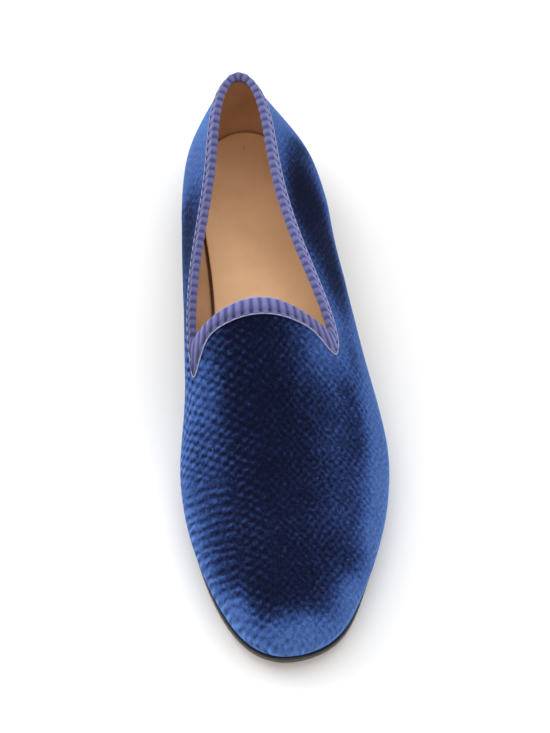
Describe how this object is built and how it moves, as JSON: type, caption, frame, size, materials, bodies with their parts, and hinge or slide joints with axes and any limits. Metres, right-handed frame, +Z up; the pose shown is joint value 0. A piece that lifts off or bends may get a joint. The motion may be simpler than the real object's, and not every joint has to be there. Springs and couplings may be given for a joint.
{
  "type": "velvet slipper loafer",
  "caption": "Left slip-on smoking slipper in blue velvet with a grosgrain-bound topline, leather insole, thin leather sole and low stacked heel.",
  "frame": {"origin": "bottom centre of the shoe's box, on the plane that the sole and heel rest on", "axes": "+Z up, toe toward -Y and heel toward +Y, outer side toward +X and inner (big toe) side toward -X"},
  "size_m": [0.1006, 0.2936, 0.0741],
  "materials": {
    "upper": "short velvet pile, lined with natural leather",
    "binding": "ribbed grosgrain ribbon",
    "insole": "smooth natural leather",
    "outsole": "black dressed edge, tan underside",
    "heel_stack": "black dressed edge",
    "heel_top_piece": "matt rubber"
  },
  "bodies": {
    "root": {"upper": "upper", "binding": "binding", "insole": "insole", "outsole": "outsole", "heel_stack": "heel_stack", "heel_top_piece": "heel_top_piece"}
  },
  "joints": []
}
